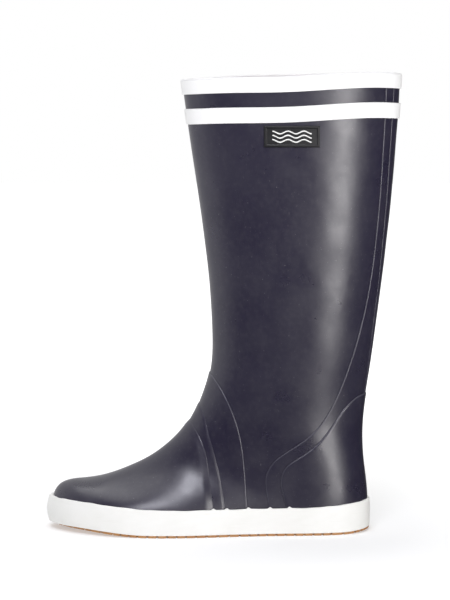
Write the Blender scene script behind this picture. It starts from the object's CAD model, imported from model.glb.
import math

import bmesh
import bpy
import numpy as np
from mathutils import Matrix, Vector, kdtree


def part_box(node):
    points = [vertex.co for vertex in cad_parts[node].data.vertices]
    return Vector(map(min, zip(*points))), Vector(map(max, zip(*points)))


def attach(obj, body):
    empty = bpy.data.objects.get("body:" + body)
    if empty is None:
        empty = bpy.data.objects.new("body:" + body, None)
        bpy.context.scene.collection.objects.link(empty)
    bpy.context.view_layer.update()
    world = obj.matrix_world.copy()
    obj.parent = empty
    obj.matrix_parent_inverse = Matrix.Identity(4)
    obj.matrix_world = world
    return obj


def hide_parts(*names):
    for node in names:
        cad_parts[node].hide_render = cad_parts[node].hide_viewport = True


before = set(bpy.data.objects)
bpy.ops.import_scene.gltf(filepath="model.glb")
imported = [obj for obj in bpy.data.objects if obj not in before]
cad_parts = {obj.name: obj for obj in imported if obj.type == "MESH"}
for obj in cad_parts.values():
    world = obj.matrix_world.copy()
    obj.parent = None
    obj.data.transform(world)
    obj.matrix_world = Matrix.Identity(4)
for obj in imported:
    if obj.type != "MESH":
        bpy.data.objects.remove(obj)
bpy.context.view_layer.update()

MM = 0.001

# ------------------------------------------------------------------ the boot's form, in mm
# The same form as the CAD part: a fan of flat sections from the rim to the toe. Each row
# gives a section's place, its front or top point and its back or bottom point, as x and z.

STATIONS = np.array([
    (0.000, -36.2, 386.0, 144.9, 386.0),
    (0.070, -31.6, 352.0, 143.4, 353.0),
    (0.160, -25.0, 306.0, 140.4, 309.0),
    (0.260, -17.8, 257.0, 136.3, 262.0),
    (0.360, -12.1, 208.0, 131.0, 215.0),
    (0.450, -9.6, 166.0, 125.6, 172.0),
    (0.510, -10.6, 138.0, 120.6, 136.0),
    (0.555, -15.6, 118.0, 116.4, 108.0),
    (0.595, -22.8, 100.0, 114.2, 82.0),
    (0.630, -31.2, 86.0, 115.4, 58.0),
    (0.665, -40.5, 75.3, 118.0, 36.0),
    (0.700, -51.0, 66.0, 114.5, 14.5),
    (0.735, -63.5, 57.6, 90.0, 9.6),
    (0.770, -77.0, 50.8, 48.0, 8.2),
    (0.810, -92.0, 44.6, -4.0, 7.0),
    (0.850, -106.0, 40.4, -55.0, 7.0),
    (0.890, -119.0, 38.4, -88.0, 7.6),
    (0.930, -130.2, 36.8, -112.0, 8.6),
    (0.965, -138.5, 32.0, -128.5, 9.8),
    (1.000, -143.0, 21.5, -139.5, 12.0),
])
HEEL_END = 118.3
MIDDLE = np.array([0.98, -2.07, 0.0])    # from the form's own axes to the boot's middle
FOOT_LENGTH = 263.6
HEEL_BACK = [(0, 116.5), (14, 117.9), (28, 118.3), (42, 117.8), (56, 116.1), (70, 114.6),
             (83, 114.2), (96, 114.8), (110, 116.2), (123, 118.4), (137, 120.7)]
PLAN = [(0, 0), (2, 10.4), (8, 19.6), (18, 26), (32, 30), (55, 31.6), (85, 31.2),
        (115, 33.6), (145, 39.4), (172, 43.6), (192, 44.2), (212, 41.8), (230, 36.2),
        (244, 28.6), (254, 19.8), (260, 11.5), (263.6, 0)]
CENTRE = [(0, 0), (30, 0.4), (60, -0.6), (90, -3), (120, -4), (150, -2.4), (180, 1.2),
          (210, 5.4), (235, 9), (250, 10.6), (264, 11.2)]
LEG = [(60, 32.5), (90, 32.6), (120, 33.6), (160, 35.6), (220, 38.4), (300, 40.2), (390, 40.6)]
UNDERSIDE = [(-160, 13.4), (-139.5, 12.0), (-128.5, 9.8), (-112, 8.6), (-88, 7.6), (-55, 7.0),
             (-4, 7.0), (48, 8.2), (90, 9.6), (130, 11.0)]
FOXING_TOP = [(-160, 27.2), (-143, 27.6), (-137, 27.3), (-128, 27.2), (-119, 27.0),
              (-102, 26.1), (-85, 24.9), (-69, 23.7), (-50, 22.9), (-20, 22.7), (13, 22.9),
              (46, 23.0), (80, 23.7), (96, 24.9), (105, 25.7), (113, 26.5), (130, 27.3)]
RIM = [(-60, 373.8), (-36, 374.8), (5, 377.1), (54, 378.2), (98, 380.1), (125, 380.6),
       (147, 379.8), (175, 378.6)]
RIM_TILT = [(-60, 0.0), (-36, 0.01), (20, 0.035), (80, 0.025), (147, 0.0), (175, 0.0)]

LEVEL_START, LEVEL_END = -62.0, 95.0     # where the tread's toe spring and heel bevel start
TOE_SPRING, TOE_SPRING_RUN = 3.4, 62.0
HEEL_BEVEL, HEEL_BEVEL_RUN = 2.4, 29.0
SOLE_SECTION = 0.70              # from here to the toe the sections end on the sole

SHELL, LINING, INSOLE = 1.6, 1.0, 2.0
VAMP, PLY = 0.8, 0.6
QUARTER, BACKSTAY, COUNTER = 0.7, 0.5, 1.2
BAND, BAND_LAP = 1.4, 1.4
RIM_BAND_HEIGHT, STRIPE_DROP, STRIPE_HEIGHT = 12.2, 24.0, 12.8
LOW = 12.0                       # level of the overlays' lower edge, inside the foxing

# Side-view edges of the overlays, x and z from the top down.
VAMP_EDGE = [(-26, 146), (-11.5, 132.6), (-1.5, 119.6), (7.6, 101.2), (14.2, 79.0),
             (17.5, 52.4), (19.5, 24.0), (20.0, LOW)]
PLY_2_EDGE = [(-34, 122), (-20.3, 107.5), (-12.2, 83.1), (-5.6, 58.8), (-0.6, 34.7),
              (2.8, LOW)]
PLY_3_EDGE = [(-42, 108), (-27.5, 91.9), (-16.4, 73.1), (-11.8, 47.5), (-8.9, 24.6),
              (-8.4, LOW)]
QUARTER_EDGE = [(133.5, 400), (131.5, 343.6), (126.0, 255.8), (116.0, 185.7),
                (101.6, 135.6), (88.4, 105.2), (74.3, 85.6), (54.6, 70.9), (39.8, 59.1),
                (34.8, 49.1), (35.2, 34.0), (38.8, LOW)]
BACKSTAY_EDGE = [(140.5, 400), (137.5, 343.5), (128.2, 217.3), (120.7, 153.2),
                 (116.0, 114.0), (114.6, 104.0)]
COUNTER_EDGE = [(126, 117.0), (110.5, 113.6), (99.4, 104.5), (89.3, 90.9), (77.7, 76.4),
                (62.8, 65.0), (49.9, 54.6), (47.0, 43.0), (49.7, 30.1), (55.0, LOW)]


# ------------------------------------------------------------------ curves

def spline_matrix(knots):
    """Matrix that gives a natural cubic spline's second derivatives from its values."""
    n = len(knots)
    gaps = np.diff(knots)
    left = np.eye(n)
    right = np.zeros((n, n))
    for i in range(1, n - 1):
        left[i, i - 1:i + 2] = gaps[i - 1], 2 * (gaps[i - 1] + gaps[i]), gaps[i]
        right[i, i - 1] = 6 / gaps[i - 1]
        right[i, i] = -6 / gaps[i - 1] - 6 / gaps[i]
        right[i, i + 1] = 6 / gaps[i]
    return np.linalg.solve(left, right)


def spline_weights(knots, x):
    """Rows of weights: a row times the knots' values is the spline's value at x."""
    x = np.clip(np.asarray(x, float), knots[0], knots[-1])
    k = np.clip(np.searchsorted(knots, x, side="right") - 1, 0, len(knots) - 2)
    gap = knots[k + 1] - knots[k]
    b = (x - knots[k]) / gap
    a = 1 - b
    curved = spline_matrix(knots)
    weights = ((a ** 3 - a) * gap ** 2 / 6)[:, None] * curved[k]
    weights += ((b ** 3 - b) * gap ** 2 / 6)[:, None] * curved[k + 1]
    rows = np.arange(len(x))
    weights[rows, k] += a
    weights[rows, k + 1] += b
    return weights


def smooth(table, x):
    """Value at x of the smooth curve through an (x, value) table."""
    rows = np.array(table, float)
    x = np.asarray(x, float)
    return (spline_weights(rows[:, 0], x.ravel()) @ rows[:, 1]).reshape(x.shape)


def ease(x, start, end):
    """0 before start, 1 after end, and a smooth rise between."""
    f = np.clip((np.asarray(x, float) - start) / (end - start), 0.0, 1.0)
    return f * f * (3 - 2 * f)


PLAN_BY_ANGLE = [(math.acos(1 - 2 * along / FOOT_LENGTH), half) for along, half in PLAN]


def plan_half(along):
    """Half-width of the foot at a distance from the back of the heel."""
    along = np.clip(along, 0.0, FOOT_LENGTH)
    return np.maximum(smooth(PLAN_BY_ANGLE, np.arccos(1 - 2 * along / FOOT_LENGTH)), 0.0)


# ------------------------------------------------------------------ the upper's surface

def half_width(s, u, x, z, length):
    """Half-width of section s at the share u of the way from its front to its back."""
    side_wall = 12.0
    over = np.minimum(u * length / max(length - side_wall, 1.0), 1.0)
    dome = (1 - (1 - over) ** 2.3) ** 0.5
    from_bottom = (1 - u) * length if s > SOLE_SECTION else z - 9.0
    under = (1 - (1 - np.clip(from_bottom / side_wall, 0.0, 1.0)) ** 4) ** 0.25
    foot = plan_half(smooth(HEEL_BACK, z) - x) * dome * under
    leg = smooth(LEG, z) * np.maximum(1 - np.abs(2 * u ** 0.93 - 1) ** 2.25, 0.0) ** 0.5
    leg_share = ease(z, 42, 118) * (1 - ease(s, 0.62, 0.80))
    return (1 - leg_share) * foot + leg_share * leg


def station_rows(row, angle):
    """x, y of the middle, half-width and z of one station at angles from 0 at its front to pi."""
    s, fx, fz, bx, bz = row
    u = (1 - np.cos(angle)) / 2
    x = fx + (bx - fx) * u
    z = fz + (bz - fz) * u
    rounding = 0.13              # share of a quarter turn that rounds off the front and back
    close = np.minimum(np.abs(np.sin(angle)) / rounding, 1.0)
    half = half_width(s, u, x, z, math.hypot(bx - fx, bz - fz)) * np.sqrt(1 - (1 - close) ** 2)
    middle = smooth(CENTRE, HEEL_END - x) * (1 - ease(z, 40, 130))
    return np.stack([x, middle, half, z], axis=-1)


def surface(s, angle):
    """Points of the upper's outer face at the sections s and the angles."""
    shape = np.broadcast(s, angle).shape
    s = np.broadcast_to(s, shape).ravel()
    angle = np.broadcast_to(angle, shape).ravel()
    weights = spline_weights(STATIONS[:, 0], s)
    turns, which = np.unique(angle, return_inverse=True)
    total = np.zeros((len(s), 4))
    for k, row in enumerate(STATIONS):
        total += weights[:, k:k + 1] * station_rows(row, turns)[which]
    x, middle, half, z = total.T
    y = middle + np.sign(np.sin(angle)) * np.maximum(half, 0.0)
    return np.stack([x, y, z], axis=-1).reshape(shape + (3,))


def surface_normal(s, angle):
    """Outward unit normals of the upper's outer face."""
    ds, da = 0.002, 0.04
    along = surface(np.clip(s + ds, 0, 1), angle) - surface(np.clip(s - ds, 0, 1), angle)
    around = surface(s, angle + da) - surface(s, angle - da)
    normal = np.cross(around, along)
    return normal / np.maximum(np.linalg.norm(normal, axis=-1, keepdims=True), 1e-9)


def raised(s, angle, height):
    """Points at a height over the upper's outer face."""
    shape = np.broadcast(s, angle, height).shape
    s, angle, height = (np.broadcast_to(v, shape) for v in (s, angle, height))
    return surface(s, angle) + surface_normal(s, angle) * height[..., None]


def section_ends(s):
    """Front and back points of the sections s, as fx, fz, bx, bz."""
    weights = spline_weights(STATIONS[:, 0], np.asarray(s, float).ravel())
    ends = weights @ STATIONS[:, 1:]
    return ends.reshape(np.shape(s) + (4,))


def locate(x, z):
    """Section and share (s, u) of side-view points."""
    x, z = np.asarray(x, float), np.asarray(z, float)
    low, high = np.zeros(x.shape), np.ones(x.shape)
    for _ in range(40):
        s = (low + high) / 2
        fx, fz, bx, bz = np.moveaxis(section_ends(s), -1, 0)
        beyond = (bx - fx) * (z - fz) - (bz - fz) * (x - fx) < 0
        low = np.where(beyond, s, low)
        high = np.where(beyond, high, s)
    fx, fz, bx, bz = np.moveaxis(section_ends(s), -1, 0)
    u = ((x - fx) * (bx - fx) + (z - fz) * (bz - fz)) / ((bx - fx) ** 2 + (bz - fz) ** 2)
    return s, u


def edge_in_section_terms(rows):
    """A side-view edge as dense (s, u) points."""
    rows = np.array(rows, float)
    chord = np.concatenate([[0], np.cumsum(np.hypot(*np.diff(rows, axis=0).T))])
    weights = spline_weights(chord, np.linspace(0, chord[-1], 400))
    dense = weights @ rows
    return locate(dense[:, 0], dense[:, 1])


def share(angle):
    """Share u of the way from a section's front to its back at an angle."""
    return (1 - np.cos(angle)) / 2


def rim_height(x, y):
    """Height of the rim over a point seen from above."""
    return smooth(RIM, x) + smooth(RIM_TILT, x) * y


def section_at_drop(angle, drop):
    """Section s where the surface at an angle lies a drop below the rim."""
    angle, drop = np.broadcast_arrays(np.asarray(angle, float), np.asarray(drop, float))
    low, high = np.zeros(angle.shape), np.full(angle.shape, 0.2)
    for _ in range(26):
        s = (low + high) / 2
        point = surface(s, angle)
        above = point[..., 2] > rim_height(point[..., 0], point[..., 1]) - drop
        low = np.where(above, s, low)
        high = np.where(above, high, s)
    return (low + high) / 2


# ------------------------------------------------------------------ meshes

def grid_faces(rows, columns, start=0, cyclic=False):
    """Quads of a grid of points; a cyclic grid joins its last column to its first."""
    faces = []
    for i in range(rows - 1):
        for j in range(columns if cyclic else columns - 1):
            k = (j + 1) % columns
            a, b = start + i * columns, start + (i + 1) * columns
            faces.append((a + j, a + k, b + k, b + j))
    return faces


def make_piece(name, points, faces, slot, rubbed=None):
    """Object from points in mm that rides on the boot and stands for the CAD node of its name."""
    mesh = bpy.data.meshes.new(name)
    mesh.from_pydata([tuple(p) for p in (np.asarray(points) + MIDDLE) * MM], [], faces)
    if rubbed is not None:
        mesh.attributes.new("rubbed", "FLOAT", "POINT").data.foreach_set("value", rubbed)
    mesh.polygons.foreach_set("use_smooth", [True] * len(mesh.polygons))
    work = bmesh.new()
    work.from_mesh(mesh)
    bmesh.ops.remove_doubles(work, verts=work.verts, dist=2e-6)
    bmesh.ops.recalc_face_normals(work, faces=work.faces)
    work.to_mesh(mesh)
    work.free()
    piece = bpy.data.objects.new(name, mesh)
    bpy.context.scene.collection.objects.link(piece)
    piece.data.materials.append(MATERIALS[slot])
    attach(piece, "root")
    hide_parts(name)
    return piece


def closed_sheet(outer, inner, cyclic=False, end_cap=False):
    """Points and faces of a wall between an outer and an inner grid of the same shape.

    The end cap closes a cyclic grid's last row with a fan on both skins. Every other edge
    gets a narrow wall between the skins."""
    rows, columns = outer.shape[:2]
    count = rows * columns
    points = list(outer.reshape(-1, 3)) + list(inner.reshape(-1, 3))
    faces = grid_faces(rows, columns, 0, cyclic) + grid_faces(rows, columns, count, cyclic)
    spans = range(columns if cyclic else columns - 1)
    for row, cap in ((0, False), (rows - 1, end_cap)):
        base = row * columns
        if cap:
            for skin, grid in ((0, outer), (count, inner)):
                points.append(grid[row].mean(axis=0))
                middle = len(points) - 1
                faces += [(skin + base + j, skin + base + (j + 1) % columns, middle)
                          for j in spans]
        else:
            faces += [(base + j, base + (j + 1) % columns, count + base + (j + 1) % columns,
                       count + base + j) for j in spans]
    if not cyclic:
        for column in (0, columns - 1):
            for i in range(rows - 1):
                a, b = i * columns + column, (i + 1) * columns + column
                faces.append((a, b, count + b, count + a))
    return points, faces


ROLL_STEPS = np.array([0.0, 0.07, 0.18, 0.32, 0.5, 0.75, 1.05, 1.5, 2.2])   # mm from an edge


def graded(total, steps, middle_count, both=False):
    """Shares from 0 to 1 that crowd near the start, and the end too if both, of a length in mm."""
    near = steps / total
    if both:
        middle = np.linspace(near[-1], 1 - near[-1], middle_count)
        return np.concatenate([near[:-1], middle, 1 - near[-2::-1]])
    return np.concatenate([near[:-1], np.linspace(near[-1], 1.0, middle_count)])


def edge_distance(points, border):
    """Distance in mm from each point to a border line, given as a dense row of points."""
    length = np.concatenate([[0], np.cumsum(np.linalg.norm(np.diff(border, axis=0), axis=1))])
    places = np.linspace(0, length[-1], int(length[-1] / 0.12) + 2)
    dense = np.stack([np.interp(places, length, border[:, k]) for k in range(3)], axis=1)
    tree = kdtree.KDTree(len(dense))
    for i, p in enumerate(dense):
        tree.insert(p, i)
    tree.balance()
    flat = points.reshape(-1, 3)
    found = np.array([tree.find(p)[2] for p in flat])
    return found.reshape(points.shape[:-1])


SINK = 0.12                      # how far a ply's back reaches into the ply below it


def roll(distance, radius):
    """Share of a ply's full height at a distance from its rounded edge."""
    return np.sqrt(1 - (1 - np.clip(distance / radius, 0, 1)) ** 2)


def ply(name, s, angle, base, top, borders, slope=0.0, cyclic=False, end_cap=False):
    """A ply of rubber over the grid (s, angle), with rounded edges along its borders.

    A ply with a slope thins out over that distance before its edge, as under a skin of rubber."""
    ground = surface(s, angle)
    normal = surface_normal(s, angle)
    distance = np.min([edge_distance(ground, border) for border in borders], axis=0)
    rise = roll(distance, 1.1 * (top - base) + 0.3)
    if slope:
        rise = 0.3 * rise + 0.7 * ease(distance, 0.0, slope)
    under_foot = ease(ground[..., 2], 6.5, LOW) if s.max() > SOLE_SECTION else 1.0
    height = base + (top - base) * rise * np.maximum(under_foot, 0.08)
    height = height + skin_ripple(ground)
    outer = ground + normal * height[..., None]
    inner = ground + normal * (base - SINK)
    points, faces = closed_sheet(outer, inner, cyclic, end_cap)
    wear = 0.3 if slope else 1.0
    rubbed = np.zeros(len(points))
    rubbed[:distance.size] = np.exp(-((distance.ravel() - 0.5) / 0.35) ** 2) * wear
    return make_piece(name, points, faces, "leg_rubber", rubbed)


def skin_ripple(points):
    """Slow unevenness of hand-laid rubber, in mm, the same for every ply over a place."""
    x, y, z = np.moveaxis(points, -1, 0)
    wave = 0.10 * np.sin(0.061 * x + 0.047 * z + 0.9) * np.sin(0.083 * y - 0.038 * z + 2.1)
    wave += 0.05 * np.sin(0.143 * z + 0.12 * x + 0.5) * np.cos(0.171 * y + 0.067 * x)
    return wave * (1 - 0.6 * ease(points[..., 2], 20, 8))


def turn(angle_share):
    """Angle at which a section's share u is reached, on the +Y side."""
    return np.arccos(1 - 2 * np.clip(angle_share, 0.0, 1.0))


def front_edge(rows):
    """A front ply's edge as section s for each share u."""
    s, u = edge_in_section_terms(rows)
    order = np.argsort(u)
    return u[order], s[order]


def front_ply(name, rows, base, top, slope=0.0):
    """A ply over the front of the foot, from its edge round to the toe."""
    u_edge, s_edge = front_edge(rows)
    angle = np.linspace(0, 2 * np.pi, 220, endpoint=False)
    s_start = np.interp(share(angle), u_edge, s_edge)
    shares = graded(150.0, ROLL_STEPS, 150)
    s = s_start[None, :] + shares[:, None] * (1 - s_start)[None, :]
    angle_grid = np.broadcast_to(angle, s.shape)
    border = surface(s[0], angle)
    border = np.vstack([border, border[:1]])
    return ply(name, s, angle_grid, base, top, [border], slope, cyclic=True, end_cap=True)


def rear_ply(name, rows, s_end, base, top):
    """A ply round the back of the leg, between its edges on the two sides."""
    s_edge, u_edge = edge_in_section_terms(rows)
    order = np.argsort(s_edge)
    back = np.array([np.pi])
    s_start = float(section_at_drop(back, 1.0)[0])
    s = np.linspace(s_start, s_end, 230)
    edge = turn(np.interp(s, s_edge[order], u_edge[order]))
    shares = graded(60.0, ROLL_STEPS, 60, both=True)
    angle = edge[:, None] + shares[None, :] * (2 * np.pi - 2 * edge)[:, None]
    s_grid = np.broadcast_to(s[:, None], angle.shape)
    borders = [surface(s, edge), surface(s, 2 * np.pi - edge)]
    return ply(name, s_grid, angle, base, top, borders)


def heel_ply(name, rows, base, top):
    """The counter: rings that shrink from its edge to a point at the back of the heel."""
    s_edge, u_edge = edge_in_section_terms(rows)
    inside = u_edge <= 1.0
    s_edge, angle_edge = s_edge[inside], turn(u_edge[inside])
    places = np.linspace(0, 1, len(s_edge))
    wanted = np.linspace(0, 1, 150)
    s_side = np.interp(wanted, places, s_edge)
    angle_side = np.interp(wanted, places, angle_edge)
    angle_side[0] = np.pi
    floor = np.linspace(angle_side[-1], 2 * np.pi - angle_side[-1], 30)[1:-1]
    s_ring = np.concatenate([s_side, np.full(len(floor), s_side[-1]), s_side[:0:-1]])
    angle_ring = np.concatenate([angle_side, floor, 2 * np.pi - angle_side[:0:-1]])
    shares = graded(60.0, ROLL_STEPS, 70)[:, None] * 0.985
    s = s_ring + shares * (0.705 - s_ring)
    angle = angle_ring + shares * (np.pi - angle_ring)
    border = surface(s_ring, angle_ring)
    border = np.vstack([border, border[:1]])
    return ply(name, s, angle, base, top, [border], cyclic=True, end_cap=True)


def build_shaft():
    """Leg shaft and the first ply round the foot, one wall from the rim to the toe."""
    angle = np.linspace(0, 2 * np.pi, 208, endpoint=False)
    start = section_at_drop(angle, 0.0)
    shares = np.linspace(0, 1, 230)[:, None]
    s = start[None, :] + shares * (1 - start)[None, :]
    angle = np.broadcast_to(angle, s.shape)
    ground = surface(s, angle)
    normal = surface_normal(s, angle)
    outer = ground + normal * skin_ripple(ground)[..., None]
    inner = ground - normal * SHELL
    points, faces = closed_sheet(outer, inner, True, end_cap=True)
    return make_piece("leg_shaft", points, faces, "leg_rubber")


def build_lining(name, drop_start, s_start, s_end, end_cap):
    """Knitted lining inside the shell, between two sections."""
    angle = np.linspace(0, 2 * np.pi, 160, endpoint=False)
    if s_start is None:
        start = section_at_drop(angle, drop_start)
    else:
        start = np.full(angle.shape, s_start)
    shares = np.linspace(0, 1, 120)[:, None]
    s = start[None, :] + shares * (s_end - start)[None, :]
    angle = np.broadcast_to(angle, s.shape)
    outer = raised(s, angle, np.full(s.shape, -SHELL - 0.05))
    inner = raised(s, angle, np.full(s.shape, -SHELL - LINING))
    points, faces = closed_sheet(outer, inner, True, end_cap=end_cap)
    return make_piece(name, points, faces, "lining_knit")


def rim_ring(name, profile):
    """Band round the leg: a closed profile of (drop below the rim, height) swept round."""
    profile = np.array(profile)
    angle = np.linspace(0, 2 * np.pi, 260, endpoint=False)
    drop = profile[:, :1] + np.zeros(angle.shape)
    height = profile[:, 1:] + np.zeros(angle.shape)
    s = section_at_drop(angle[None, :] + np.zeros(drop.shape), np.maximum(drop, 0.0))
    angle = np.broadcast_to(angle, s.shape)
    ground = surface(s, angle)
    lap = BAND_LAP * ease(ground[..., 0], 96, 138) * np.clip(height / 0.6, 0, 1)
    points = ground + surface_normal(s, angle) * (height + lap)[..., None]
    points[..., 2] += np.maximum(-drop, 0.0)
    rows, columns = s.shape
    faces = grid_faces(rows, columns, 0, cyclic=True)
    faces += [((rows - 1) * columns + j, (rows - 1) * columns + (j + 1) % columns,
               (j + 1) % columns, j) for j in range(columns)]
    return make_piece(name, points.reshape(-1, 3), faces, "white_rubber")


def band_profile(top, bottom, height):
    """Closed band profile with rounded edges, from its bottom edge round to its back."""
    turns = np.linspace(0, np.pi / 2, 6)
    radius = 0.75
    shoulder = height - radius
    low = [(bottom - radius + radius * math.cos(a), shoulder + radius * math.sin(a)) for a in turns]
    high = [(top + radius - radius * math.sin(a), shoulder + radius * math.cos(a)) for a in turns]
    face = [(d, height) for d in np.linspace(bottom - radius, top + radius, 14)[1:-1]]
    back = [(top, -0.05), (bottom, -0.05)]
    return low + face + high + back


def rim_profile(bottom, height):
    """The rim band's profile: it turns over the shell's edge and ends inside the lining's top."""
    outside = band_profile(0.6, bottom, height)[:-2]
    over = [(-0.05, height - 0.35), (-0.45, 0.35), (-0.6, -0.8), (-0.5, -1.7), (-0.1, -2.4),
            (0.5, -2.75)]
    inside = [(1.4, -2.85), (1.9, -2.75), (1.9, -2.5), (0.4, -2.3), (0.15, -0.1),
              (bottom, -0.1)]
    return outside + over + inside


# ------------------------------------------------------------------ sole

def plan_curve(angle):
    """Points of the foot's outline seen from above and its outward directions."""
    def place(a):
        along = FOOT_LENGTH * (1 + np.cos(a)) / 2
        y = smooth(CENTRE, along) + np.sign(np.sin(a)) * plan_half(along)
        return np.stack([HEEL_END - along, y], -1)
    here = place(angle)
    step = place(angle + 0.02) - place(angle - 0.02)
    out = np.stack([-step[..., 1], step[..., 0]], -1)
    return here, out / np.linalg.norm(out, axis=-1, keepdims=True)


def rocker(x):
    """Height of the tread's underside."""
    toe = ease(LEVEL_START - x, 0.0, TOE_SPRING_RUN)
    heel = np.maximum((x - LEVEL_END) / HEEL_BEVEL_RUN, 0.0)
    return TOE_SPRING * toe + HEEL_BEVEL * heel ** 1.8


# height -> how far the foxing stands outside the foot's plan
FOXING_SIDE = [(-2, 3.7), (6, 4.0), (13, 4.2), (20, 4.2), (26, 3.9), (33, 3.4)]
FOXING_TOE = [(-2, 1.2), (6, 2.4), (13, 3.9), (20, 3.6), (26, 2.0), (31, 0.3), (36, -2.5)]
FOXING_BUMPS = [-8.9, 2.2, 20.0, 38.1, 54.0]     # x where an overlay's edge runs under the strip


def foxing_reach(x, z):
    """How far the foxing stands outside the foot's plan."""
    toe = ease(HEEL_END - x, 208, FOOT_LENGTH)
    return smooth(FOXING_SIDE, z) * (1 - toe) + smooth(FOXING_TOE, z) * toe


def build_foxing():
    """Foxing strip: a wall swept round the foot's outline, with a rounded top edge."""
    count = 900
    angle = np.linspace(0, 2 * np.pi, count, endpoint=False)
    angle = angle - 0.02 * np.sin(2 * angle)
    here, out = plan_curve(angle)
    x = here[:, 0]
    bump = sum(1.3 * np.exp(-((x - b) / 1.15) ** 2) for b in FOXING_BUMPS)
    bottom = rocker(x) + 1.9
    top = smooth(FOXING_TOP, x) + bump + 0.12 * np.sin(angle * 23) + 0.08 * np.sin(angle * 41 + 1)
    radius = 1.0
    rows = []
    for a in np.linspace(-np.pi / 2, 0, 5):
        rows.append((bottom + 0.5 + 0.5 * math.sin(a), -0.5 + 0.5 * math.cos(a)))
    for f in np.linspace(0, 1, 22)[1:]:
        rows.append((bottom + 0.5 + (top - radius - bottom - 0.5) * f, 0.0))
    for a in np.linspace(0, np.pi / 2, 7)[1:]:
        rows.append((top - radius + radius * math.sin(a), -radius + radius * math.cos(a)))
    points = []
    for z, back in rows:
        reach = foxing_reach(x, z) + back + 0.05 * np.sin(angle * 31 + z * 0.8)
        points.append(np.column_stack([here + out * reach[:, None], z]))
    for z, reach in ((top - 0.6, foxing_reach(x, top) - 4.2), (bottom + 6.0, -1.2 + 0 * x),
                     (bottom + 0.2, 1.2 + 0 * x)):
        inner = np.minimum(reach, foxing_reach(x, z) - 1.5)
        points.append(np.column_stack([here + out * inner[:, None], z]))
    points = np.array(points)
    faces = grid_faces(len(points), count, 0, cyclic=True)
    last = (len(points) - 1) * count
    faces += [(last + j, last + (j + 1) % count, (j + 1) % count, j) for j in range(count)]
    return make_piece("foxing_strip", points.reshape(-1, 3), faces, "foxing_rubber")


def build_footbed():
    """Loose insole: rings that shrink from its outline, with a cupped heel and a soft edge."""
    angle = np.linspace(0, 2 * np.pi, 240, endpoint=False)
    here, out = plan_curve(angle)
    board_top = SHELL + LINING + INSOLE
    floor = smooth(UNDERSIDE, here[:, 0]) + board_top
    middle_y = smooth(CENTRE, HEEL_END - here[:, 0])
    rows = []
    for lift, reach in ((0.2, -7.6), (1.2, -6.0), (2.6, -5.0), (3.6, -5.0), (4.15, -5.6),
                        (4.35, -6.6)):
        rows.append(np.column_stack([here + out * reach, floor + lift]))
    edge = here + out * -6.6
    for f in np.linspace(0, 1, 26)[1:]:
        x = edge[:, 0] * (1 - 0.05 * f)
        y = edge[:, 1] + (middle_y - edge[:, 1]) * min(f, 0.995)
        cup = 0.9 * ease(x, 10, 70) * f
        lift = 4.35 + 0.15 * np.sin(f * 3) - cup
        rows.append(np.column_stack([x, y, smooth(UNDERSIDE, x) + board_top + lift]))
    top = np.array(rows)
    count = len(angle)
    points = list(top.reshape(-1, 3))
    faces = grid_faces(len(top), count, 0, cyclic=True)
    base = len(points)
    for f in np.linspace(0, 0.995, 14):
        x = here[:, 0] + out[:, 0] * -7.6
        y = here[:, 1] + out[:, 1] * -7.6
        y = y + (middle_y - y) * f
        points += list(np.column_stack([x, y, smooth(UNDERSIDE, x) + board_top + 0.2]))
    faces += grid_faces(14, count, base, cyclic=True)
    piece = make_piece("footbed", points, faces, "footbed_fabric")
    return piece


# ------------------------------------------------------------------ label

def build_label():
    """Plate with a raised border and three plain waves, both laid on the leg's outer side."""
    low, high = (np.array(corner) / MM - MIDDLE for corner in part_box("label_plate"))
    left, right, bottom, top = low[0], high[0], low[2], high[2]
    border, recess, thick = 2.2, 0.5, 1.3

    def on_side(x, z, height):
        s, u = locate(x, z)
        return raised(s, 2 * np.pi - turn(u), height)

    def edge_steps(size):
        near = np.array([0, 0.1, 0.25, 0.45, 0.7, 1.0, 1.5, 1.75, 1.95, 2.1, 2.25, 2.45, 2.7, 3.2])
        middle = np.linspace(3.8, size - 3.8, int(size * 1.2))
        return np.concatenate([near, middle, size - near[::-1]])

    x, z = np.meshgrid(left + edge_steps(right - left), bottom + edge_steps(top - bottom))
    inset = np.minimum(np.minimum(x - left, right - x), np.minimum(z - bottom, top - z))
    rise = thick * roll(inset, 0.8) - recess * ease(inset, border - 0.45, border + 0.3)
    points, faces = closed_sheet(on_side(x, z, rise), on_side(x, z, np.full(x.shape, -0.1)))
    make_piece("label_plate", points, faces, "label_rubber")

    points, faces = [], []
    field = thick - recess
    middle = (bottom + top) / 2
    for gap in (-4.0, -0.6, 2.8):
        along = np.linspace(0, 1, 160)
        wave_x = left + 3 * border + (right - left - 6 * border) * along
        taper = np.sqrt(np.clip(np.minimum(along, 1 - along) / 0.02, 0, 1))
        across = np.linspace(0, 1, 11)[:, None]
        crest = 1.1 * np.cos(5 * np.pi * along) + 0.55
        wave_z = middle + gap + crest + (across - 0.5) * 1.1 * taper
        lift = field + 0.5 * np.sqrt(np.maximum(1 - (2 * across - 1) ** 4, 0)) * taper
        wave_x = np.broadcast_to(wave_x, wave_z.shape)
        outer = on_side(wave_x, wave_z, lift)
        inner = on_side(wave_x, wave_z, np.full(wave_x.shape, field - 0.1))
        p, f = closed_sheet(outer, inner)
        faces += [tuple(i + len(points) for i in face) for face in f]
        points += p
    make_piece("label_motif", points, faces, "motif_rubber")


# ------------------------------------------------------------------ materials

def new_material(name, **constants):
    """Principled material with constant sockets set; returns it, its nodes and its shader."""
    material = bpy.data.materials.new(name)
    material.use_nodes = True
    tree = material.node_tree
    shader = tree.nodes["Principled BSDF"]
    for socket, value in constants.items():
        shader.inputs[socket.replace("_", " ")].default_value = value
    return material, tree, shader


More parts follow.
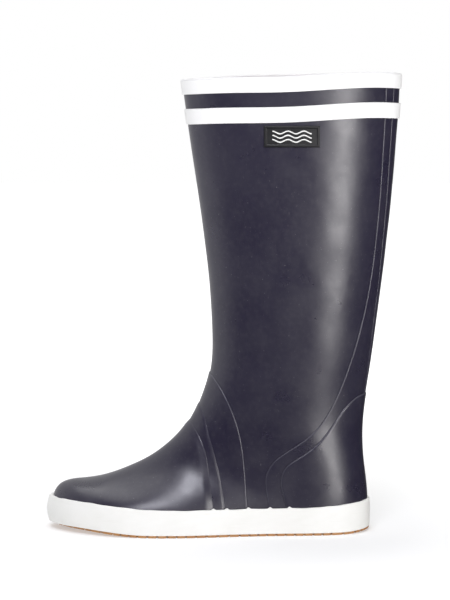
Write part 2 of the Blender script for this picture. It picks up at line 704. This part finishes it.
def add_node(tree, kind, **inputs):
    """Shader node with some of its inputs set."""
    node = tree.nodes.new(kind)
    for socket, value in inputs.items():
        node.inputs[socket.replace("_", " ")].default_value = value
    return node


def place(tree, stretch=(1, 1, 1)):
    """Object coordinates, stretched, so that a pattern stays fixed to the surface."""
    coordinates = add_node(tree, "ShaderNodeTexCoord")
    mapping = add_node(tree, "ShaderNodeMapping", Scale=stretch)
    tree.links.new(coordinates.outputs["Object"], mapping.inputs["Vector"])
    return mapping.outputs["Vector"]


def noise(tree, vector, scale, detail=2.0, roughness=0.5):
    """Noise from 0 to 1; the scale is in features per metre."""
    node = add_node(tree, "ShaderNodeTexNoise", Scale=scale, Detail=detail, Roughness=roughness)
    tree.links.new(vector, node.inputs["Vector"])
    return node.outputs["Fac"]


def spread(tree, value, low, high, out_low=0.0, out_high=1.0):
    """Maps a value from one range to another, clamped."""
    node = add_node(tree, "ShaderNodeMapRange")
    node.inputs["From Min"].default_value = low
    node.inputs["From Max"].default_value = high
    node.inputs["To Min"].default_value = out_low
    node.inputs["To Max"].default_value = out_high
    tree.links.new(value, node.inputs["Value"])
    return node.outputs["Result"]


def blend_colours(tree, factor, first, second):
    """Mix of two colours, each an RGBA tuple or a socket."""
    node = tree.nodes.new("ShaderNodeMix")
    node.data_type = "RGBA"
    tree.links.new(factor, node.inputs[0])
    for socket, colour in ((6, first), (7, second)):
        if isinstance(colour, tuple):
            node.inputs[socket].default_value = colour
        else:
            tree.links.new(colour, node.inputs[socket])
    return node.outputs[2]


def combine(tree, operation, first, second):
    """Result of a sum, product or other operation on sockets or plain numbers."""
    node = tree.nodes.new("ShaderNodeMath")
    node.operation = operation
    for socket, value in ((0, first), (1, second)):
        if isinstance(value, (int, float)):
            node.inputs[socket].default_value = value
        else:
            tree.links.new(value, node.inputs[socket])
    return node.outputs[0]


def scaled(tree, value, factor):
    return combine(tree, "MULTIPLY", value, factor)


def grey(level):
    return (level, level, level, 1)


def add_bump(tree, shader, height, strength, distance):
    bump = add_node(tree, "ShaderNodeBump", Strength=strength, Distance=distance)
    tree.links.new(height, bump.inputs["Height"])
    tree.links.new(bump.outputs["Normal"], shader.inputs["Normal"])


def dark_rubber():
    """Satin navy rubber: cloudy tone, dull patches, pale laps, fine pores and dust specks."""
    material, tree, shader = new_material("dark_rubber", IOR=1.5, Specular_IOR_Level=0.8)
    vector = place(tree)
    clouds = spread(tree, noise(tree, vector, 16, 3), 0.35, 0.65)
    tone = blend_colours(tree, clouds, (0.0150, 0.0125, 0.0300, 1), (0.0230, 0.0205, 0.0380, 1))
    mottle = spread(tree, noise(tree, vector, 260, 3, 0.6), 0.45, 0.75)
    tone = blend_colours(tree, scaled(tree, mottle, 0.35), tone, (0.045, 0.042, 0.057, 1))
    specks = spread(tree, noise(tree, vector, 900, 1), 0.745, 0.79)
    tone = blend_colours(tree, scaled(tree, specks, 0.5), tone, (0.22, 0.21, 0.22, 1))
    rubbed = tree.nodes.new("ShaderNodeAttribute")
    rubbed.attribute_name = "rubbed"
    uneven = spread(tree, noise(tree, vector, 45, 3), 0.3, 0.7, 0.35, 1.0)
    edge = scaled(tree, rubbed.outputs["Fac"], uneven)
    tone = blend_colours(tree, edge, tone, (0.070, 0.067, 0.090, 1))
    tree.links.new(tone, shader.inputs["Base Color"])
    dull = spread(tree, noise(tree, vector, 34, 4, 0.6), 0.35, 0.65, 0.27, 0.38)
    tree.links.new(dull, shader.inputs["Roughness"])
    pores = noise(tree, vector, 1500, 3, 0.6)
    waves = noise(tree, vector, 90, 2)
    height = combine(tree, "ADD", scaled(tree, pores, 0.35), waves)
    add_bump(tree, shader, height, 0.12, 0.0006)
    return material


def pale_rubber(name, tone, shade, scuff):
    """Pale rubber: slight yellowing in patches, scuffs that run along it, fine grain."""
    material, tree, shader = new_material(name, IOR=1.5)
    vector = place(tree)
    patches = spread(tree, noise(tree, vector, 22, 4, 0.6), 0.4, 0.75)
    colour = blend_colours(tree, patches, tone, shade)
    streaks = spread(tree, noise(tree, place(tree, (40, 40, 900)), 1, 4, 0.65), 0.60, 0.78)
    colour = blend_colours(tree, scaled(tree, streaks, scuff), colour, (0.60, 0.58, 0.52, 1))
    tree.links.new(colour, shader.inputs["Base Color"])
    dull = spread(tree, noise(tree, vector, 120, 3), 0.3, 0.7, 0.38, 0.55)
    tree.links.new(dull, shader.inputs["Roughness"])
    grain = noise(tree, vector, 1100, 3, 0.6)
    height = combine(tree, "ADD", scaled(tree, grain, 0.4), noise(tree, vector, 70, 3))
    add_bump(tree, shader, height, 0.14, 0.0005)
    return material


def gum_rubber():
    """Orange-tan gum rubber with darker dirt in its low spots."""
    material, tree, shader = new_material("gum_rubber", IOR=1.5, Subsurface_Weight=0.05)
    vector = place(tree)
    clouds = spread(tree, noise(tree, vector, 40, 4, 0.6), 0.3, 0.7)
    colour = blend_colours(tree, clouds, (0.40, 0.18, 0.06, 1), (0.50, 0.26, 0.10, 1))
    dirt = spread(tree, noise(tree, vector, 300, 4, 0.7), 0.58, 0.8)
    colour = blend_colours(tree, scaled(tree, dirt, 0.5), colour, (0.22, 0.12, 0.06, 1))
    tree.links.new(colour, shader.inputs["Base Color"])
    tree.links.new(spread(tree, clouds, 0, 1, 0.5, 0.66), shader.inputs["Roughness"])
    add_bump(tree, shader, noise(tree, vector, 900, 4, 0.65), 0.25, 0.0006)
    return material


def black_rubber():
    """Near-black satin rubber of the label, with a fine pebble."""
    material, tree, shader = new_material("black_rubber", IOR=1.5)
    vector = place(tree)
    colour = blend_colours(tree, noise(tree, vector, 200, 3), (0.006, 0.006, 0.007, 1),
                           (0.016, 0.016, 0.018, 1))
    tree.links.new(colour, shader.inputs["Base Color"])
    tree.links.new(spread(tree, noise(tree, vector, 150, 2), 0.3, 0.7, 0.36, 0.48),
                   shader.inputs["Roughness"])
    add_bump(tree, shader, noise(tree, vector, 1800, 2), 0.2, 0.0004)
    return material


def knit(name, tone, shade, pitch):
    """Knitted cloth: courses of small loops with a soft, uneven nap."""
    material, tree, shader = new_material(name, Roughness=0.92, Sheen_Weight=0.35,
                                          Sheen_Roughness=0.5)
    vector = place(tree)
    split = tree.nodes.new("ShaderNodeSeparateXYZ")
    tree.links.new(vector, split.inputs[0])
    across = combine(tree, "ADD", split.outputs["X"], split.outputs["Y"])
    wale = combine(tree, "SINE", scaled(tree, across, 2 * math.pi / pitch), 0)
    course = scaled(tree, split.outputs["Z"], 2 * math.pi / (pitch * 1.2))
    loops = combine(tree, "SINE", combine(tree, "ADD", course, scaled(tree, wale, 1.4)), 0)
    nap = noise(tree, vector, 420, 4, 0.65)
    weave = combine(tree, "ADD", scaled(tree, scaled(tree, wale, loops), 0.5), nap)
    colour = blend_colours(tree, spread(tree, weave, -0.2, 1.2), shade, tone)
    stains = spread(tree, noise(tree, vector, 30, 3), 0.45, 0.8, 0.0, 0.3)
    colour = blend_colours(tree, stains, colour, shade)
    tree.links.new(colour, shader.inputs["Base Color"])
    add_bump(tree, shader, weave, 0.6, 0.0005)
    return material


def fibre_board():
    """Pressed fibre board: flecks and faint layers."""
    material, tree, shader = new_material("fibre_board", Roughness=0.85)
    vector = place(tree)
    flecks = noise(tree, place(tree, (300, 900, 300)), 1, 5, 0.7)
    colour = blend_colours(tree, flecks, (0.24, 0.16, 0.09, 1), (0.44, 0.32, 0.2, 1))
    tree.links.new(colour, shader.inputs["Base Color"])
    add_bump(tree, shader, noise(tree, vector, 700, 4), 0.3, 0.0004)
    return material


def sponge_rubber():
    """Foamed filler rubber: dark cells in a brown body."""
    material, tree, shader = new_material("sponge_rubber", Roughness=0.8)
    vector = place(tree)
    cells = tree.nodes.new("ShaderNodeTexVoronoi")
    cells.inputs["Scale"].default_value = 700
    tree.links.new(vector, cells.inputs["Vector"])
    colour = blend_colours(tree, spread(tree, cells.outputs["Distance"], 0.1, 0.6),
                           (0.06, 0.045, 0.035, 1), (0.16, 0.12, 0.09, 1))
    tree.links.new(colour, shader.inputs["Base Color"])
    add_bump(tree, shader, cells.outputs["Distance"], 0.4, 0.0006)
    return material


def rolled_steel():
    """Cold-rolled steel with brush lines along its length."""
    material, tree, shader = new_material("rolled_steel", Metallic=1.0)
    vector = place(tree, (60, 2500, 2500))
    lines = noise(tree, vector, 1, 3)
    colour = blend_colours(tree, lines, (0.33, 0.33, 0.34, 1), (0.52, 0.52, 0.53, 1))
    tree.links.new(colour, shader.inputs["Base Color"])
    tree.links.new(spread(tree, lines, 0.3, 0.7, 0.28, 0.5), shader.inputs["Roughness"])
    add_bump(tree, shader, lines, 0.15, 0.0003)
    return material


def make_materials():
    """One material for each material slot of the record."""
    board = fibre_board()
    return {
        "leg_rubber": dark_rubber(),
        "white_rubber": pale_rubber("white_rubber", grey(0.81), (0.78, 0.78, 0.77, 1), 0.12),
        "foxing_rubber": pale_rubber("foxing_rubber", (0.87, 0.87, 0.845, 1),
                                     (0.82, 0.82, 0.785, 1), 0.22),
        "motif_rubber": pale_rubber("motif_rubber", (0.80, 0.80, 0.79, 1),
                                    (0.70, 0.70, 0.68, 1), 0.1),
        "label_rubber": black_rubber(),
        "sole_gum": gum_rubber(),
        "filler_rubber": sponge_rubber(),
        "shank_steel": rolled_steel(),
        "board_fibre": board,
        "puff_fibre": board,
        "lining_knit": knit("lining_knit", (0.78, 0.50, 0.38, 1), (0.52, 0.30, 0.22, 1), 0.0011),
        "footbed_fabric": knit("footbed_knit", (0.62, 0.46, 0.38, 1),
                               (0.40, 0.28, 0.22, 1), 0.0013),
    }


def repaint(node, slot):
    """Gives a CAD node that stays in view its slot's procedural material."""
    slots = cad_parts[node].data.materials
    slots.clear()
    slots.append(MATERIALS[slot])


# ------------------------------------------------------------------ studio

def build_floor():
    """Plain pale floor: paper round the boot that turns to an even bright white far away.

    It lights the boot but leaves no mirror image in the satin rubber."""
    mesh = bpy.data.meshes.new("floor")
    reach = 9.0
    corners = [(-reach, -reach, 0), (reach, -reach, 0), (reach, reach, 0), (-reach, reach, 0)]
    mesh.from_pydata(corners, [], [(0, 1, 2, 3)])
    floor = bpy.data.objects.new("floor", mesh)
    bpy.context.scene.collection.objects.link(floor)
    floor.visible_glossy = False
    floor.visible_shadow = False
    material, tree, shader = new_material("floor_paper", Roughness=0.9, Specular_IOR_Level=0.1)
    vector = place(tree)
    tone = blend_colours(tree, noise(tree, vector, 30, 4), grey(0.60), grey(0.62))
    tree.links.new(tone, shader.inputs["Base Color"])
    distance = tree.nodes.new("ShaderNodeVectorMath")
    distance.operation = "LENGTH"
    tree.links.new(vector, distance.inputs[0])
    shader.inputs["Emission Color"].default_value = grey(1.0)
    glow = spread(tree, distance.outputs["Value"], 0.15, 0.9, 0.42, 1.0)
    tree.links.new(glow, shader.inputs["Emission Strength"])
    mesh.materials.append(material)


def aim(item, target):
    """Turns a light or camera towards a point."""
    direction = Vector(target) - item.location
    item.rotation_mode = "QUATERNION"
    item.rotation_quaternion = direction.to_track_quat("-Z", "Y")


def add_softbox(name, place_at, target, width, height, power, tint=(1, 1, 1)):
    """Rectangular area light that faces a target."""
    light = bpy.data.lights.new(name, "AREA")
    light.shape = "RECTANGLE"
    light.size, light.size_y = width, height
    light.energy = power
    light.color = tint
    item = bpy.data.objects.new(name, light)
    bpy.context.scene.collection.objects.link(item)
    item.location = place_at
    aim(item, target)


def build_lights():
    """Soft boxes in a room that is white behind and left, and dark in front and right."""
    world = bpy.data.worlds.new("studio")
    world.use_nodes = True
    tree = world.node_tree
    background = tree.nodes["Background"]
    coordinates = tree.nodes.new("ShaderNodeTexCoord")
    split = tree.nodes.new("ShaderNodeSeparateXYZ")
    tree.links.new(coordinates.outputs["Generated"], split.inputs[0])
    side = combine(tree, "ADD", combine(tree, "MULTIPLY", split.outputs["X"], -0.9),
                   combine(tree, "MULTIPLY", split.outputs["Y"], 0.8))
    room = spread(tree, side, 0.1, 0.85, 0.022, 0.70)
    camera_ray = tree.nodes.new("ShaderNodeLightPath").outputs["Is Camera Ray"]
    tree.links.new(combine(tree, "MAXIMUM", room, camera_ray), background.inputs["Strength"])
    background.inputs["Color"].default_value = grey(1.0)
    bpy.context.scene.world = world
    boot = (0.0, 0.0, 0.2)
    add_softbox("strip_right", (1.1, -1.68, 0.30), boot, 0.48, 1.08, 17, (1.0, 0.98, 0.965))
    add_softbox("front_high", (-0.26, -1.42, 1.42), (0, 0, 0.1), 0.62, 0.48, 16, (0.92, 0.92, 1.0))
    add_softbox("top", (0.0, 0.25, 2.4), (0, 0.25, 0), 2.4, 2.4, 38)


def build_camera():
    """Camera at eye level with the boot's top, square to its outer side."""
    data = bpy.data.cameras.new("camera")
    camera = bpy.data.objects.new("camera", data)
    bpy.context.scene.collection.objects.link(camera)
    middle = Vector((MIDDLE[0] * MM, MIDDLE[1] * MM, 0.0))
    target = middle + Vector((0.001, 0.0, 0.1923))
    camera.location = middle + Vector((0.001, -1.9, 0.35))
    aim(camera, target)
    view_height = 0.5
    data.sensor_width = 36.0
    data.lens = data.sensor_width * (target - camera.location).length / view_height
    bpy.context.scene.camera = camera


# ------------------------------------------------------------------ the boot

def build_boot():
    """Every Blender piece, then the materials of the CAD nodes that stay in view."""
    build_shaft()
    build_lining("leg_lining", 0.3, None, 0.575, False)
    build_lining("foot_lining", 0.0, 0.575, 1.0, True)
    front_ply("vamp", VAMP_EDGE, 0.0, VAMP)
    front_ply("vamp_ply", PLY_2_EDGE, VAMP, VAMP + PLY, slope=2.5)
    front_ply("toe_overlay", PLY_3_EDGE, VAMP + PLY, VAMP + 2 * PLY + 0.5, slope=6.5)
    rear_ply("rear_quarter", QUARTER_EDGE, 0.772, 0.0, QUARTER)
    rear_ply("backstay", BACKSTAY_EDGE, 0.56, QUARTER, QUARTER + BACKSTAY)
    heel_ply("heel_counter", COUNTER_EDGE, QUARTER, QUARTER + COUNTER)
    rim_ring("rim_band", rim_profile(RIM_BAND_HEIGHT, BAND))
    rim_ring("stripe_band", band_profile(STRIPE_DROP, STRIPE_DROP + STRIPE_HEIGHT, BAND))
    build_label()
    build_foxing()
    build_footbed()
    for node, slot in (("outsole", "sole_gum"), ("midsole_filler", "filler_rubber"),
                       ("heel_wedge", "filler_rubber"), ("insole_board", "board_fibre"),
                       ("toe_puff", "puff_fibre"), ("counter_stiffener", "puff_fibre"),
                       ("shank", "shank_steel")):
        repaint(node, slot)


MATERIALS = make_materials()
build_camera()
build_lights()
build_floor()
build_boot()
bpy.context.scene.view_settings.view_transform = "Standard"
